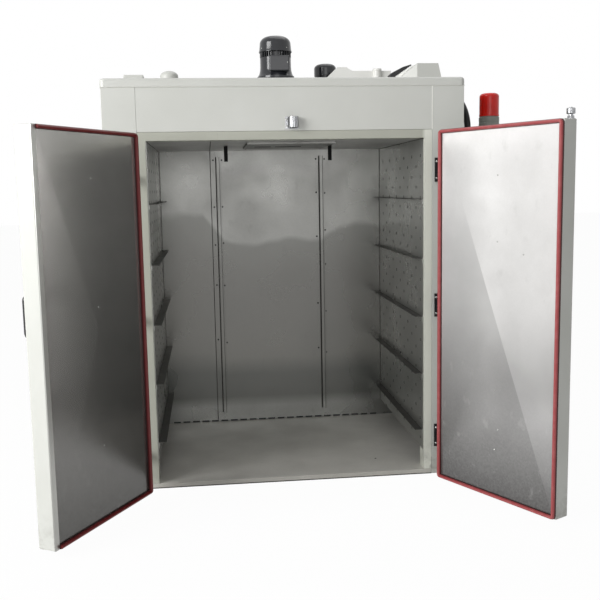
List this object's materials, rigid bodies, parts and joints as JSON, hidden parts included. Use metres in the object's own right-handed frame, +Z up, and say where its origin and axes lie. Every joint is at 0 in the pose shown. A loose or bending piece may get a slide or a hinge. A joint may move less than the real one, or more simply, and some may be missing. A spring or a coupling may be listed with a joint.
{
  "type": "industrial oven",
  "caption": "Walk-in batch oven with two hinged insulated doors, perforated air ducts, shelf rails, roof fan and side control cabinet",
  "frame": {"origin": "on the ground, at the middle of the body's footprint", "axes": "+Z up, +X to the right seen from the doors, +Y from the doors into the chamber"},
  "size_m": [2.7346, 2.2372, 2.5413],
  "materials": {
    "outer_paint": "pale grey semi-gloss powder coat",
    "chamber_sheet": "mid grey galvanised sheet with soft reflections",
    "door_liner_sheet": "bright rolled sheet",
    "rail_steel": "dark grey folded steel",
    "door_silicone": "dark red silicone",
    "hinge_black": "black satin casting",
    "bright_chrome": "bright chrome plate",
    "motor_enamel": "charcoal gloss enamel",
    "beacon_lens": "clear red moulded lens",
    "beacon_housing": "grey moulded plastic",
    "conduit_rubber": "black ribbed conduit"
  },
  "bodies": {
    "oven_body": {"left_wall": "outer_paint", "right_wall": "outer_paint", "rear_wall": "outer_paint", "left_post": "outer_paint", "right_post": "outer_paint", "header_panel": "outer_paint", "roof_cap": "outer_paint", "door_frame": "outer_paint", "exhaust_blower": "outer_paint", "intake_hood": "outer_paint", "roof_vent_box": "outer_paint", "roof_vent_dome": "outer_paint", "control_cabinet": "outer_paint", "cabinet_door": "outer_paint", "floor_pan": "chamber_sheet", "ceiling_slab": "chamber_sheet", "left_duct_panel": "chamber_sheet", "right_duct_panel": "chamber_sheet", "back_liner": "chamber_sheet", "ceiling_grille": "chamber_sheet", "left_rail_1": "rail_steel", "left_rail_2": "rail_steel", "left_rail_3": "rail_steel", "left_rail_4": "rail_steel", "left_rail_5": "rail_steel", "right_rail_1": "rail_steel", "right_rail_2": "rail_steel", "right_rail_3": "rail_steel", "right_rail_4": "rail_steel", "right_rail_5": "rail_steel", "left_hinge_bracket_1": "hinge_black", "left_hinge_bracket_2": "hinge_black", "left_hinge_bracket_3": "hinge_black", "right_hinge_bracket_1": "hinge_black", "right_hinge_bracket_2": "hinge_black", "right_hinge_bracket_3": "hinge_black", "left_hanger": "hinge_black", "right_hanger": "hinge_black", "door_keeper": "bright_chrome", "fan_motor": "motor_enamel", "exhaust_motor": "motor_enamel", "beacon_dome": "beacon_lens", "beacon_base": "beacon_housing", "cable_conduit": "conduit_rubber"},
    "left_door": {"left_door_case": "outer_paint", "left_door_liner": "door_liner_sheet", "left_door_gasket": "door_silicone", "left_door_astragal": "chamber_sheet", "left_door_handle": "hinge_black", "left_hinge_leaf_1": "hinge_black", "left_hinge_leaf_2": "hinge_black", "left_hinge_leaf_3": "hinge_black"},
    "right_door": {"right_door_case": "outer_paint", "right_door_liner": "door_liner_sheet", "right_door_gasket": "door_silicone", "right_door_latch": "bright_chrome", "right_door_handle": "hinge_black", "right_hinge_leaf_1": "hinge_black", "right_hinge_leaf_2": "hinge_black", "right_hinge_leaf_3": "hinge_black"}
  },
  "joints": [
    {"name": "left_door_hinge", "type": "hinge", "parent": "oven_body", "child": "left_door", "pos_m": [-0.832, -0.7825, 0.975], "axis": [0, 0, -1], "range_deg": [-119, 51]},
    {"name": "right_door_hinge", "type": "hinge", "parent": "oven_body", "child": "right_door", "pos_m": [0.832, -0.7825, 0.975], "axis": [0, 0, 1], "range_deg": [-119, 51]}
  ]
}
